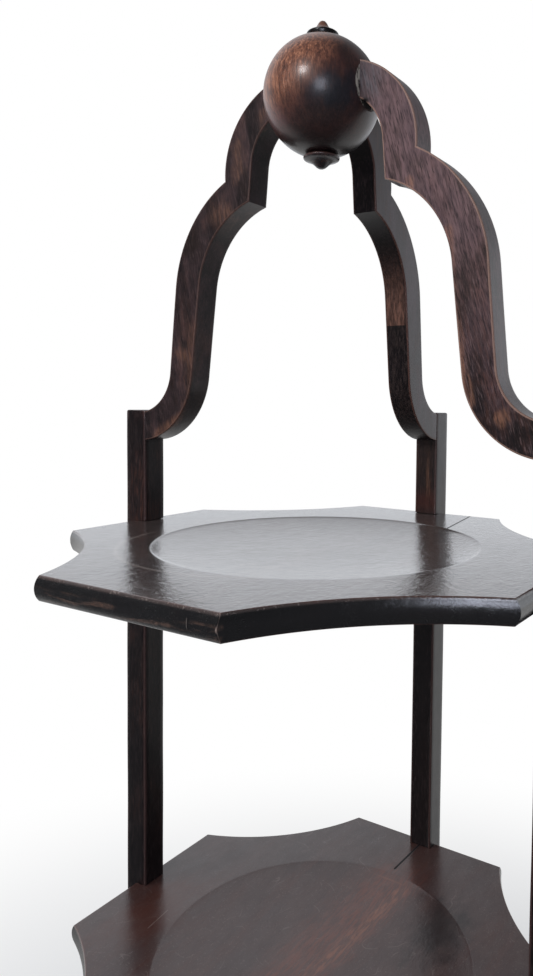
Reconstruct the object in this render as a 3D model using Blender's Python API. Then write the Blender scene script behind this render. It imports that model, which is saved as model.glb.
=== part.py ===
"""Tiered stand: three dished boards held by three posts, with three sawn arms that meet in a ball.

Metres, +Z up. The origin is on the floor, on the axis of the boards. The posts stand on the
left (-X), back (+Y) and right (+X) sides, the front (-Y) is open above the lowest board, and a
short leg carries the lowest board there.
"""
import math

import bpy

# Boards (tiers)
ACROSS_FLATS = 0.280        # between two opposite straight sides, at the top edge
SIDE_LENGTH = 0.1128        # one straight side
SCALLOP_DEPTH = 0.0121      # how deep the corner between two sides is scooped out
TIER_THICK = 0.012
EDGE_BULGE = 0.00275        # how far a side's rounded edge stands out past the top edge
SCALLOP_BULGE = 0.0012      # the same in the scooped corners
DISH_RADIUS = 0.092
DISH_DEPTH = 0.004          # in the middle
DISH_POWER = 2.5            # the dish is a bowl, steepest at its rim: 2 would make it a parabola
TIER_PITCH = 0.245          # from one top face to the next
LOWEST_TOP = 0.120          # top face of the lowest board above the floor
TIER_NAMES = ("lower", "middle", "upper")

# Posts
POST_WIDTH = 0.0164         # along the board's edge
POST_DEPTH = 0.0174         # from the inner to the outer face
POST_LET_IN = 0.0076        # how far the inner face lies inside the board's top edge
POST_EASE = 0.0008          # broken edges
POST_RISE = 0.0725          # above the top face of the upper board
HOUSING_DEPTH = 0.003       # groove in the inner face that carries a board

# Ball, with its caps
BALL_RADIUS = 0.0325
BALL_RISE = 0.2483          # centre above the top face of the upper board
CAP_FLAT = 0.008            # radius of the flats under the two caps
ARM_FLAT_DEPTH = 0.0025     # how deep the flat that an arm butts against is cut
SPIGOT_RADIUS = 0.003
SPIGOT_LENGTH = 0.013
TOP_CAP_RADIUS = 0.0089
TOP_CAP_HEIGHT = 0.0101
PENDANT_RADIUS = 0.0100
PENDANT_HEIGHT = 0.0077

# Arms, seen from the side: three arcs, the shoulder and the foot joined by a straight run
ARM_EASE = 0.0005
CROWN_OUT = 0.0152          # centre of the crown arc from the axis
CROWN_DROP = 0.0356         # and below the ball's centre
CROWN_RADIUS = 0.0492
INNER_RISE = 0.002          # centre of the crown's inner arc above the outer one's
INNER_RADIUS = 0.0289
INNER_LEAN = 0.085          # slope outwards of the straight run below that arc
SHOULDER_DROP = 0.0696      # centre of the shoulder arc below the crown's
SHOULDER_RADIUS = 0.0738
SHOULDER_BAND = 0.0197
FOOT_RADIUS = 0.0278        # upper, hollow side of the foot arc
FOOT_BAND = 0.0186
FOOT_REACH = 0.005          # centre of the foot arc past the post's inner face
FOOT_STEP = 0.0006          # the arm's top below the post's, where they meet
ARM_LEAN = 0.0045           # how far the straight run leans out on its way down

# Dowels, screws and plugs
DOWEL_RADIUS = 0.003
BALL_DOWEL_IN = 0.014       # depth in the ball, from the arm's end
BALL_DOWEL_OUT = 0.0095     # depth in the arm
POST_DOWEL_IN = 0.0105      # depth in the post, from its inner face
POST_DOWEL_OUT = 0.011      # depth in the arm
PLUG_RADIUS = 0.004
PLUG_DEPTH = 0.0045
SCREW_LENGTH = 0.025
SCREW_RADIUS = 0.0017
SCREW_HEAD_RADIUS = 0.0034
SCREW_HEAD_HEIGHT = 0.0024
SCREW_POINT = 0.004

FIT = 0.0003                # clearance between pieces that touch
OVERRUN = 0.004             # how far a cutter runs past the face that it cuts

# Facets
ARC_STEPS = 10              # each scooped corner
SIDE_STEPS = 5              # each straight side
EDGE_STEPS = 5              # across the rounded edge
DISH_STEPS = 5              # from the rim of the dish to its middle
BALL_STEPS = 32
CAP_STEPS = 24
PEG_STEPS = 12
SHARP_ANGLE = math.radians(32)

# Worked out from the sizes above
HALF_FLATS = ACROSS_FLATS / 2
POST_INNER = HALF_FLATS - POST_LET_IN
POST_OUTER = POST_INNER + POST_DEPTH
HOUSING_FLOOR = POST_INNER + HOUSING_DEPTH
TIER_TOPS = {name: LOWEST_TOP + level * TIER_PITCH for level, name in enumerate(TIER_NAMES)}
UPPER_TOP = TIER_TOPS["upper"]
POST_TOP = UPPER_TOP + POST_RISE
BALL_CENTRE = UPPER_TOP + BALL_RISE
ARM_END = BALL_RADIUS - ARM_FLAT_DEPTH
ARM_BUTT = POST_INNER - FIT

SIDES = {"right": 0.0, "back": 90.0, "left": 180.0, "front": 270.0}
POST_SIDES = ("left", "back", "right")


def clear_scene():
    for old in list(bpy.data.objects):
        bpy.data.objects.remove(old, do_unlink=True)


def wood(name, colour, roughness):
    made = bpy.data.materials.new(name)
    made.use_nodes = True
    shader = made.node_tree.nodes["Principled BSDF"]
    shader.inputs["Base Color"].default_value = (*colour, 1.0)
    shader.inputs["Roughness"].default_value = roughness
    return made


def steel(name, colour, roughness):
    made = wood(name, colour, roughness)
    made.node_tree.nodes["Principled BSDF"].inputs["Metallic"].default_value = 1.0
    return made


def solid(name, points, faces, material, parent=None):
    """One closed mesh object, round stretches smooth and real edges sharp."""
    mesh = bpy.data.meshes.new(name)
    mesh.from_pydata(points, [], faces)
    mesh.shade_smooth()
    mesh.set_sharp_from_angle(angle=SHARP_ANGLE)
    made = bpy.data.objects.new(name, mesh)
    bpy.context.collection.objects.link(made)
    if material:
        mesh.materials.append(material)
    made.parent = parent
    return made


def cutter(made):
    made.hide_render = True
    made.display_type = "WIRE"
    return made


def cut(target, tools):
    for tool in tools:
        step = target.modifiers.new("cut " + tool.name, "BOOLEAN")
        step.operation = "DIFFERENCE"
        step.solver = "EXACT"
        step.object = tool


def loft(rings):
    """Points and faces of the closed solid through rings of equally many points.

    The rings run from the first end to the last, anticlockwise seen from the last end.
    """
    count = len(rings[0])
    points = [point for ring in rings for point in ring]
    faces = [tuple(reversed(range(count)))]
    for row in range(len(rings) - 1):
        low = row * count
        for here in range(count):
            after = (here + 1) % count
            faces.append((low + here, low + after, low + count + after, low + count + here))
    last = (len(rings) - 1) * count
    faces.append(tuple(range(last, last + count)))
    return points, faces


def turned(profile, steps, along_x=False):
    """Points and faces of a solid turned round Z, or round X, from (radius, place) pairs.

    The profile runs upwards. A radius of zero, at either end, closes in a single point.
    """
    rings = []
    for radius, place in profile:
        if radius == 0.0:
            rings.append([(0.0, 0.0, place)])
            continue
        turn = [2 * math.pi * step / steps for step in range(steps)]
        rings.append([(radius * math.cos(a), radius * math.sin(a), place) for a in turn])
    points = [point for ring in rings for point in ring]
    starts = [sum(len(ring) for ring in rings[:row]) for row in range(len(rings))]
    faces = []
    if len(rings[0]) > 1:
        faces.append(tuple(reversed(range(steps))))
    for row in range(len(rings) - 1):
        low, high = starts[row], starts[row + 1]
        for here in range(steps):
            after = (here + 1) % steps
            if len(rings[row]) == 1:
                faces.append((low, high + after, high + here))
            elif len(rings[row + 1]) == 1:
                faces.append((low + here, low + after, high))
            else:
                faces.append((low + here, low + after, high + after, high + here))
    if len(rings[-1]) > 1:
        faces.append(tuple(range(starts[-1], starts[-1] + steps)))
    if along_x:
        points = [(z, x, y) for x, y, z in points]
    return points, faces


def block(low, high):
    """Points and faces of a box between two corners."""
    (x0, y0, z0), (x1, y1, z1) = low, high
    rings = [[(x0, y0, z), (x1, y0, z), (x1, y1, z), (x0, y1, z)] for z in (z0, z1)]
    return loft(rings)


def board_outline(bulge):
    """The board's outline with this share of its edge's bulge: straight sides, hollow arcs, mitred."""
    half_chord = (HALF_FLATS - SIDE_LENGTH / 2) / math.sqrt(2)
    radius = (half_chord ** 2 + SCALLOP_DEPTH ** 2) / (2 * SCALLOP_DEPTH)
    reach = radius - SCALLOP_BULGE * bulge
    chord_middle = (HALF_FLATS + SIDE_LENGTH / 2) / 2
    centre = chord_middle + (radius - SCALLOP_DEPTH) / math.sqrt(2)
    flat = HALF_FLATS + EDGE_BULGE * bulge
    corner = centre - math.sqrt(reach ** 2 - (centre - flat) ** 2)
    start = math.atan2(corner - centre, flat - centre)
    end = math.atan2(flat - centre, corner - centre)
    quarter = []
    for step in range(SIDE_STEPS):
        quarter.append((flat, corner * (2 * step / SIDE_STEPS - 1)))
    for step in range(ARC_STEPS):
        angle = start + (end - start) * step / ARC_STEPS
        quarter.append((centre + reach * math.cos(angle), centre + reach * math.sin(angle)))
    outline = []
    for turn in range(4):
        for x, y in quarter:
            for _ in range(turn):
                x, y = -y, x
            outline.append((x, y))
    return outline


def board_rings():
    """From the rim of the underside, round the edge, over the top and down into the dish."""
    radius = (TIER_THICK ** 2 / 4 + EDGE_BULGE ** 2) / (2 * EDGE_BULGE)
    opening = math.asin(TIER_THICK / 2 / radius)
    rings = []
    for step in range(EDGE_STEPS + 1):
        angle = opening * (2 * step / EDGE_STEPS - 1)
        bulge = 1 - radius * (1 - math.cos(angle)) / EDGE_BULGE
        height = radius * math.sin(angle) - TIER_THICK / 2
        rings.append([(x, y, height) for x, y in board_outline(bulge)])
    bearings = [math.atan2(y, x) for x, y in board_outline(0.0)]
    for step in range(DISH_STEPS):
        share = 1 - step / DISH_STEPS
        reach = DISH_RADIUS * share
        height = -DISH_DEPTH * (1 - share ** DISH_POWER)
        rings.append([(reach * math.cos(a), reach * math.sin(a), height) for a in bearings])
    return rings


def arc(centre, radius, start, end, steps):
    """Points on an arc from one angle to another, both ends included."""
    turn = [start + (end - start) * step / steps for step in range(steps + 1)]
    return [(centre[0] + radius * math.cos(a), centre[1] + radius * math.sin(a)) for a in turn]


def crossing_tangent(centre, radius, other, other_radius):
    """Bearing, seen from the first centre, of the line that touches both circles crosswise."""
    across, up = other[0] - centre[0], other[1] - centre[1]
    swing = math.acos((radius + other_radius) / math.hypot(across, up))
    return math.atan2(up, across) + swing


def arm_arcs(grow):
    """Centres and radii of the arm's arcs, (out, height above the upper board), grown by grow."""
    crown = (CROWN_OUT, BALL_RISE - CROWN_DROP)
    inner = (CROWN_OUT, crown[1] + INNER_RISE)
    foot_height = POST_RISE - FOOT_STEP + math.sqrt(FOOT_RADIUS ** 2 - FOOT_REACH ** 2)
    foot = (POST_INNER + FOOT_REACH, foot_height)
    shoulder = (foot[0] - FOOT_RADIUS - SHOULDER_RADIUS - ARM_LEAN, crown[1] - SHOULDER_DROP)
    return {
        "crown": (crown, CROWN_RADIUS + grow),
        "inner": (inner, INNER_RADIUS - grow),
        "shoulder": (shoulder, SHOULDER_RADIUS + grow, SHOULDER_RADIUS - SHOULDER_BAND - grow),
        "foot": (foot, FOOT_RADIUS - grow, FOOT_RADIUS + FOOT_BAND + grow),
    }


def butt_angle(foot, radius):
    """Bearing at which a foot arc meets the plane of the arm's butt."""
    return math.pi * 1.5 - math.asin((foot[0] - ARM_BUTT) / radius)


def arm_outline(grow):
    """The side view of an arm, from the ball down the outer edge and back up the inner one."""
    arcs = arm_arcs(grow)
    crown, crown_out = arcs["crown"]
    shoulder, shoulder_out, shoulder_in = arcs["shoulder"]
    foot, foot_out, foot_in = arcs["foot"]

    gap = (shoulder[0] - crown[0], shoulder[1] - crown[1])
    span = math.hypot(*gap)
    swing = math.acos((crown_out ** 2 + span ** 2 - shoulder_out ** 2) / (2 * crown_out * span))
    crown_low = math.atan2(gap[1], gap[0]) + swing
    notch = (crown[0] + crown_out * math.cos(crown_low), crown[1] + crown_out * math.sin(crown_low))
    notch_bearing = math.atan2(notch[1] - shoulder[1], notch[0] - shoulder[0])

    outer = arc(crown, crown_out, math.acos((ARM_END - crown[0]) / crown_out), crown_low, 9)
    touch = crossing_tangent(shoulder, shoulder_out, foot, foot_out)
    outer += arc(shoulder, shoulder_out, notch_bearing, touch, 11)[1:]
    outer += arc(foot, foot_out, touch + math.pi, butt_angle(foot, foot_out), 8)

    touch = crossing_tangent(shoulder, shoulder_in, foot, foot_in)
    inner = arc(foot, foot_in, butt_angle(foot, foot_in), touch + math.pi, 9)
    crown, crown_in = arcs["inner"]
    lean = math.atan(INNER_LEAN)
    bend = (crown[0] + crown_in * math.cos(lean), crown[1] + crown_in * math.sin(lean))
    along, up = bend[0] - shoulder[0], bend[1] - shoulder[1]
    slide = up * math.cos(lean) - along * math.sin(lean)
    drop = slide - math.sqrt(slide ** 2 - along ** 2 - up ** 2 + shoulder_in ** 2)
    cusp = math.atan2(up - drop * math.cos(lean), along + drop * math.sin(lean))
    inner += arc(shoulder, shoulder_in, touch, cusp, 9)
    inner += arc(crown, crown_in, lean, math.acos((ARM_END - crown[0]) / crown_in), 6)
    return outer + inner


def arm_rings():
    """The outline four times across the arm, drawn in a little at both faces."""
    half = POST_WIDTH / 2
    rings = []
    for place, grow in ((-half, -ARM_EASE), (ARM_EASE - half, 0.0),
                        (half - ARM_EASE, 0.0), (half, -ARM_EASE)):
        rings.append([(out, place, UPPER_TOP + height) for out, height in arm_outline(grow)])
    return rings


def arm_flat():
    """What the ball loses for the flat that an arm butts against."""
    reach = math.sqrt(BALL_RADIUS ** 2 - ARM_END ** 2) + OVERRUN
    low, high = BALL_CENTRE - reach, BALL_CENTRE + reach
    return block((ARM_END - FIT, -reach, low), (BALL_RADIUS + OVERRUN, reach, high))


def peg(start, end):
    """A dowel along X with broken ends."""
    ease = DOWEL_RADIUS / 4
    profile = [(DOWEL_RADIUS - ease, start), (DOWEL_RADIUS, start + ease),
               (DOWEL_RADIUS, end - ease), (DOWEL_RADIUS - ease, end)]
    return turned(profile, PEG_STEPS, along_x=True)


def peg_hole(start, end):
    """The hole for such a dowel, a clearance wider and deeper."""
    profile = [(DOWEL_RADIUS + FIT, start - FIT), (DOWEL_RADIUS + FIT, end + FIT)]
    return turned(profile, PEG_STEPS, along_x=True)


def screw_profile(grow):
    """A countersunk wood screw from its point to its head, grown by grow on every side."""
    head = POST_OUTER - PLUG_DEPTH - FIT
    neck = head - SCREW_HEAD_HEIGHT
    point = head - SCREW_LENGTH
    return [(0.0, point - grow * 2), (SCREW_RADIUS + grow, point + SCREW_POINT),
            (SCREW_RADIUS + grow, neck), (SCREW_HEAD_RADIUS + grow, head - grow)]


def screw_bore():
    """Screw, head and plug in one stepped hole."""
    profile = screw_profile(FIT)[:-1]
    seat = POST_OUTER - PLUG_DEPTH - FIT
    profile += [(SCREW_HEAD_RADIUS + FIT, seat - FIT), (PLUG_RADIUS + FIT, seat - FIT),
                (PLUG_RADIUS + FIT, POST_OUTER + OVERRUN)]
    return turned(profile, PEG_STEPS, along_x=True)


def cap_profile():
    """The top cap on its spigot, as (radius, height above the flat): a rim, a cone and a knob."""
    wide, rise = TOP_CAP_RADIUS, TOP_CAP_HEIGHT
    shape = ((1.00, 0.16), (1.00, 0.26), (0.93, 0.32), (0.65, 0.46), (0.42, 0.60), (0.35, 0.68),
             (0.33, 0.78), (0.25, 0.89), (0.11, 0.97), (0.00, 1.00))
    stem = [(SPIGOT_RADIUS, -SPIGOT_LENGTH), (SPIGOT_RADIUS, FIT), (CAP_FLAT, FIT)]
    return stem + [(wide * across, rise * up) for across, up in shape]


def pendant_profile():
    """The pendant on its spigot, heights below the flat: a rimmed disc, a button and a point."""
    wide, drop = PENDANT_RADIUS, PENDANT_HEIGHT
    shape = ((1.00, 0.16), (1.00, 0.30), (0.90, 0.39), (0.52, 0.51), (0.46, 0.66), (0.37, 0.78),
             (0.22, 0.93), (0.08, 0.99), (0.00, 1.00))
    stem = [(SPIGOT_RADIUS, -SPIGOT_LENGTH), (SPIGOT_RADIUS, FIT), (CAP_FLAT, FIT)]
    return stem + [(wide * across, drop * down) for across, down in shape]


def ball_profile():
    """Half a circle with a flat at either end, where the caps sit."""
    end = math.acos(CAP_FLAT / BALL_RADIUS)
    rows = BALL_STEPS // 2
    angles = [end * (2 * row / rows - 1) for row in range(rows + 1)]
    return [(BALL_RADIUS * math.cos(a), BALL_RADIUS * math.sin(a)) for a in angles]


def make_sides():
    """An empty on the axis for each side, turned so that its own +X points outwards there."""
    empties = {}
    for name, bearing in SIDES.items():
        empty = bpy.data.objects.new("side_" + name, None)
        bpy.context.collection.objects.link(empty)
        empty.rotation_euler.z = math.radians(bearing)
        empties[name] = empty
    return empties


def make_post(name, top, side, material):
    half = POST_WIDTH / 2
    made = solid(name, *block((POST_INNER, -half, 0.0), (POST_OUTER, half, top)), material, side)
    ease = made.modifiers.new("broken edges", "BEVEL")
    ease.width = POST_EASE
    ease.segments = 1
    return made


def housing(name, tier_top, side):
    """The groove across a post's inner face for one board."""
    low = (POST_INNER - OVERRUN, -POST_WIDTH, tier_top - TIER_THICK - FIT)
    high = (HOUSING_FLOOR, POST_WIDTH, tier_top + FIT)
    return cutter(solid(name, *block(low, high), None, side))


def notch(name, side):
    """The notch in the boards' edges for one post, from the floor to the top of the post."""
    half = POST_WIDTH / 2 + FIT
    low = (HOUSING_FLOOR - FIT, -half, -OVERRUN)
    high = (HALF_FLATS + EDGE_BULGE + OVERRUN, half, POST_TOP)
    return cutter(solid(name, *block(low, high), None, side))


def make_screw(where, height, side, looks):
    """A screw and its plug at one height of one post, and the bore that takes both."""
    screw = solid("screw_" + where, *turned(screw_profile(0.0), PEG_STEPS, True), looks["steel"], side)
    outer = [(PLUG_RADIUS, POST_OUTER - PLUG_DEPTH), (PLUG_RADIUS, POST_OUTER)]
    plug = solid("plug_" + where, *turned(outer, PEG_STEPS, True), looks["plug"], side)
    bore = cutter(solid("bore_" + where, *screw_bore(), None, side))
    for piece in (screw, plug, bore):
        piece.location.z = height
    return bore


def make_arm(name, side, looks):
    """One arm with the dowels at its ends; gives back what cuts the ball and what cuts the post."""
    arm = solid("arm_" + name, *loft(arm_rings()), looks["arm"], side)
    crown, outer = arm_arcs(0.0)["crown"]
    centre, inner = arm_arcs(0.0)["inner"]
    end_top = crown[1] + math.sqrt(outer ** 2 - (ARM_END - crown[0]) ** 2)
    end_low = centre[1] + math.sqrt(inner ** 2 - (ARM_END - centre[0]) ** 2)
    foot, foot_out, foot_in = arm_arcs(0.0)["foot"]
    joints = (("ball", ARM_END - BALL_DOWEL_IN, ARM_END + BALL_DOWEL_OUT,
               (end_top + end_low) / 2),
              ("post", POST_INNER - POST_DOWEL_OUT, POST_INNER + POST_DOWEL_IN,
               foot[1] - (foot_out + foot_in) / 2))
    holes = {}
    for place, start, end, height in joints:
        dowel = solid(f"dowel_{name}_{place}", *peg(start, end), looks["dowel"], side)
        hole = cutter(solid(f"dowel_hole_{name}_{place}", *peg_hole(start, end), None, side))
        dowel.location.z = hole.location.z = UPPER_TOP + height
        holes[place] = hole
    cut(arm, holes.values())
    flat = cutter(solid("flat_" + name, *arm_flat(), None, side))
    return [flat, holes["ball"]], [holes["post"]]


def make_ball(ball_cuts, looks):
    """The ball, its cap and its pendant; each cap's spigot goes into a hole of its own."""
    ball = solid("ball", *turned(ball_profile(), BALL_STEPS), looks["ball"])
    ball.location.z = BALL_CENTRE
    flat = math.sqrt(BALL_RADIUS ** 2 - CAP_FLAT ** 2)
    hole = [(SPIGOT_RADIUS + FIT, -SPIGOT_LENGTH - FIT), (SPIGOT_RADIUS + FIT, OVERRUN)]
    for name, profile, turn in (("top_cap", cap_profile(), 0.0), ("pendant", pendant_profile(), math.pi)):
        cap = solid(name, *turned(profile, CAP_STEPS), looks["ball"])
        socket = cutter(solid("socket_" + name, *turned(hole, PEG_STEPS), None))
        for piece in (cap, socket):
            piece.rotation_euler.x = turn
            piece.location.z = BALL_CENTRE + (flat if turn == 0.0 else -flat)
        ball_cuts.append(socket)
    cut(ball, ball_cuts)


def main():
    clear_scene()
    looks = {
        "board": wood("dark_board", (0.040, 0.022, 0.018), 0.35),
        "post": wood("dark_post", (0.030, 0.014, 0.010), 0.42),
        "arm": wood("brown_arm", (0.060, 0.028, 0.018), 0.45),
        "ball": wood("brown_ball", (0.110, 0.045, 0.024), 0.33),
        "dowel": wood("plain_dowel", (0.420, 0.270, 0.140), 0.65),
        "plug": wood("dark_plug", (0.035, 0.016, 0.011), 0.45),
        "steel": steel("screw_steel", (0.450, 0.440, 0.420), 0.38),
    }
    sides = make_sides()
    notches = {name: notch("notch_" + name, side) for name, side in sides.items()}
    tier_cuts = {name: [] for name in TIER_NAMES}
    ball_cuts = []

    for name in POST_SIDES:
        side = sides[name]
        post = make_post("post_" + name, POST_TOP, side, looks["post"])
        arm_ball, arm_post = make_arm(name, side, looks)
        ball_cuts += arm_ball
        cut(post, arm_post)
        for tier, top in TIER_TOPS.items():
            where = f"{name}_{tier}"
            bore = make_screw(where, top - TIER_THICK / 2, side, looks)
            cut(post, [housing("housing_" + where, top, side), bore])
            tier_cuts[tier] += [notches[name], bore]

    leg_top = TIER_TOPS["lower"]
    leg = make_post("front_leg", leg_top, sides["front"], looks["post"])
    bore = make_screw("front_lower", leg_top - TIER_THICK / 2, sides["front"], looks)
    cut(leg, [housing("housing_front_lower", leg_top, sides["front"]), bore])
    tier_cuts["lower"] += [notches["front"], bore]

    for tier, top in TIER_TOPS.items():
        board = solid("tier_" + tier, *loft(board_rings()), looks["board"])
        board.location.z = top
        cut(board, tier_cuts[tier])
    make_ball(ball_cuts, looks)


main()
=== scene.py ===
"""The looks of the tiered stand: turned, sawn and dished wood under a dark, worn stain.

Every piece but the dowels, screws and plugs is a surface worked out with numpy, in metres, in the
frame's place; those keep their CAD shapes. Z is the boards' axis. The left post stands at -X, the
back post at +Y, the right post at +X, and -Y is the front.
"""
import math

import bmesh
import bpy
import numpy as np
from mathutils import Matrix, Vector


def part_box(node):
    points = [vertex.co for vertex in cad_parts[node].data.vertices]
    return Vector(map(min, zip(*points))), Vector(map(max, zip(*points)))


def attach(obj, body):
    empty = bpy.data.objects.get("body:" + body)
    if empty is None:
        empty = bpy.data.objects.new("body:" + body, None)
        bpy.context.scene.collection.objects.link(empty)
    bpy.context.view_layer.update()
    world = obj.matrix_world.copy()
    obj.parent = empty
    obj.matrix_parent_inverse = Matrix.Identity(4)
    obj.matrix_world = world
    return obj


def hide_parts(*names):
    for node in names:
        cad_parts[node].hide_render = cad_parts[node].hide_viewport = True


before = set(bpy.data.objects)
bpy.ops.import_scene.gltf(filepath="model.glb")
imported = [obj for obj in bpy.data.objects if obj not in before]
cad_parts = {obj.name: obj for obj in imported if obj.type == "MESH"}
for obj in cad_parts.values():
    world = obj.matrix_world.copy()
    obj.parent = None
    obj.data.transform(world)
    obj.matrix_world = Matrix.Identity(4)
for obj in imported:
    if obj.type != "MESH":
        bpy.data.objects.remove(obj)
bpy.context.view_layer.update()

# Places read from the frame
TIERS = ("lower", "middle", "upper")
TIER_LOW = {name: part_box("tier_" + name)[0][2] for name in TIERS}
TIER_TOP = {name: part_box("tier_" + name)[1][2] for name in TIERS}
UPPER_TOP = TIER_TOP["upper"]
(POST_INNER, _, _), (POST_OUTER, POST_HALF, POST_TOP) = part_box("post_right")
BALL_CENTRE = (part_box("ball")[0][2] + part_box("ball")[1][2]) / 2
CAP_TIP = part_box("top_cap")[1][2]
PENDANT_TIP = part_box("pendant")[0][2]

# Boards
HALF_FLATS = 0.140
HALF_SIDE = 0.0564
SCALLOP_DEPTH = 0.0121
EDGE_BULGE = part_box("tier_upper")[1][0] - HALF_FLATS
SCALLOP_BULGE = 0.0012
DISH_RADIUS = 0.092
DISH_DEPTH = 0.0040
DISH_POWER = 2.5
LIP_DROP = {"upper": 0.00028, "middle": 0.00006, "lower": 0.00006}
LIP_WIDTH = 0.0012
LIP_EASE = 0.0010        # how far out the dish's lip starts to round over
LIP_SINK = 0.00012       # and how much lower it is where the dish begins
PLAIN = 0.02             # distance from an arris that is past all wear

# Posts
POST_EASE = 0.0009       # rounded arrises
POST_STEP = 0.008        # from one ring to the next
HOUSING_DEPTH = 0.003    # groove in the inner face round each board
FIT = 0.0003             # clearance between pieces

# How much farther than HALF_SIDE each side runs at its low and its high end, as cut by hand
HAND_CUT = {
    "upper": {"right": (0.0, 0.0), "back": (-0.0026, 0.0011), "left": (-0.0030, 0.0006),
              "front": (-0.0027, -0.0011)},
    "middle": {"right": (0.0006, -0.0008), "back": (0.0031, 0.0012), "left": (0.0027, 0.0009),
               "front": (-0.0009, 0.0007)},
    "lower": {"right": (0.0011, -0.0006), "back": (-0.0012, 0.0009), "left": (0.0008, -0.0014),
              "front": (0.0007, 0.0012)},
}

# Ball and arms, the arms as (out from the axis, above the upper board)
BALL_RADIUS = 0.0325
BALL_FLAT = 0.0299
CAP_FLAT = 0.008
ARM_END = 0.0300
CROWN = (0.0152, BALL_CENTRE - UPPER_TOP - 0.0356)
CROWN_RADIUS = 0.0492
INNER = (0.0152, CROWN[1] + 0.002)
INNER_RADIUS = 0.0289
INNER_LEAN = math.atan(0.085)
SHOULDER_RADIUS = 0.0738
SHOULDER_BAND = 0.0197
SHOULDER_DROP = 0.0696
FOOT_RADIUS = 0.0278
FOOT_BAND = 0.0186
FOOT_REACH = 0.005
FOOT_STEP = 0.0006
ARM_LEAN = 0.0045
ARRIS = 0.0006           # an arm's rounded arrises
CROWN_STEPS, SHOULDER_STEPS, RUN_STEPS, FOOT_STEPS = 48, 60, 26, 44
TIP = 0.00002            # radius that closes a turned profile

SIDES = {"right": 0.0, "back": 90.0, "left": 180.0, "front": 270.0}


# Meshes

def placed(name, data):
    """A new object in the scene."""
    made = bpy.data.objects.new(name, data)
    bpy.context.collection.objects.link(made)
    return made


def piece(name, points, faces, finish, node, edge=None):
    """A closed mesh that rides on the stand and stands for a CAD node.

    edge holds each point's distance from the nearest arris, for the wear in the finish.
    """
    mesh = bpy.data.meshes.new(name)
    mesh.from_pydata(points.tolist(), [], faces)
    if edge is not None:
        layer = mesh.attributes.new("edge", "FLOAT", "POINT")
        layer.data.foreach_set("value", np.asarray(edge, dtype=np.float32).ravel())
    mesh.shade_smooth()
    mesh.set_sharp_from_angle(angle=math.radians(32.0))
    mesh.materials.append(finish)
    made = placed(name, mesh)
    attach(made, "root")
    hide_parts(node)
    return made


def tube(rings):
    """Points and faces of a closed solid through an array of rings, rows by points by xyz.

    Quads join each ring to the next, and a fan about its middle closes the ring at each end.
    """
    rows, count = rings.shape[:2]
    ends = np.stack([rings[0].mean(axis=0), rings[-1].mean(axis=0)])
    row = np.arange(rows - 1)[:, None] * count
    here = np.arange(count)
    after = (here + 1) % count
    quads = np.stack([row + here, row + after, row + count + after, row + count + here], axis=-1)
    end = (rows - 1) * count
    faces = quads.reshape(-1, 4).tolist()
    faces += np.stack([after, here, np.full(count, end + count)], axis=-1).tolist()
    faces += np.stack([end + here, end + after, np.full(count, end + count + 1)], axis=-1).tolist()
    return np.concatenate([rings.reshape(-1, 3), ends]), faces


def turned_about(points, degrees):
    """Points turned about the Z axis by a whole number of quarter turns."""
    spun = np.array(points)
    for _ in range(int(degrees // 90) % 4):
        spun = np.stack([-spun[:, 1], spun[:, 0], spun[:, 2]], axis=1)
    return spun


def revolve(profile, steps):
    """Rings round Z from an array of (radius, height), bottom to top."""
    turn = np.linspace(0, 2 * np.pi, steps, endpoint=False)
    radius, height = profile[:, 0:1], profile[:, 1:2]
    return np.stack([radius * np.cos(turn), radius * np.sin(turn), height + 0 * turn], axis=-1)


def arc_points(centre, radius, start, end, steps):
    """Points on an arc about a centre, from one bearing to another."""
    angle = np.linspace(start, end, steps)
    return np.stack([centre[0] + radius * np.cos(angle), centre[1] + radius * np.sin(angle)], axis=1)


def smooth_profile(knots, steps):
    """A curve through (radius, height) knots: a Catmull-Rom spline, steps points a stretch."""
    knots = np.asarray(knots, dtype=float)
    padded = np.concatenate([2 * knots[:1] - knots[1:2], knots, 2 * knots[-1:] - knots[-2:-1]])
    t = np.linspace(0, 1, steps, endpoint=False)[:, None]
    spans = []
    for a, b, c, d in zip(padded, padded[1:], padded[2:], padded[3:]):
        spans.append(0.5 * (2 * b + (c - a) * t + (2 * a - 5 * b + 4 * c - d) * t ** 2
                            + (3 * b - a - 3 * c + d) * t ** 3))
    curve = np.concatenate(spans + [knots[-1:]])
    curve[:, 0] = np.maximum(curve[:, 0], TIP)
    return curve


def waver(where, size, seed):
    """A slow hand-made unevenness along a length: three sines of unlike periods."""
    rng = np.random.default_rng(seed)
    phase = rng.uniform(0, 2 * np.pi, 3)
    return size * (np.sin(where / 0.011 + phase[0]) * 0.3 + np.sin(where / 0.027 + phase[1]) * 0.4
                   + np.sin(where / 0.061 + phase[2]) * 0.3)


# Boards

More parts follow.
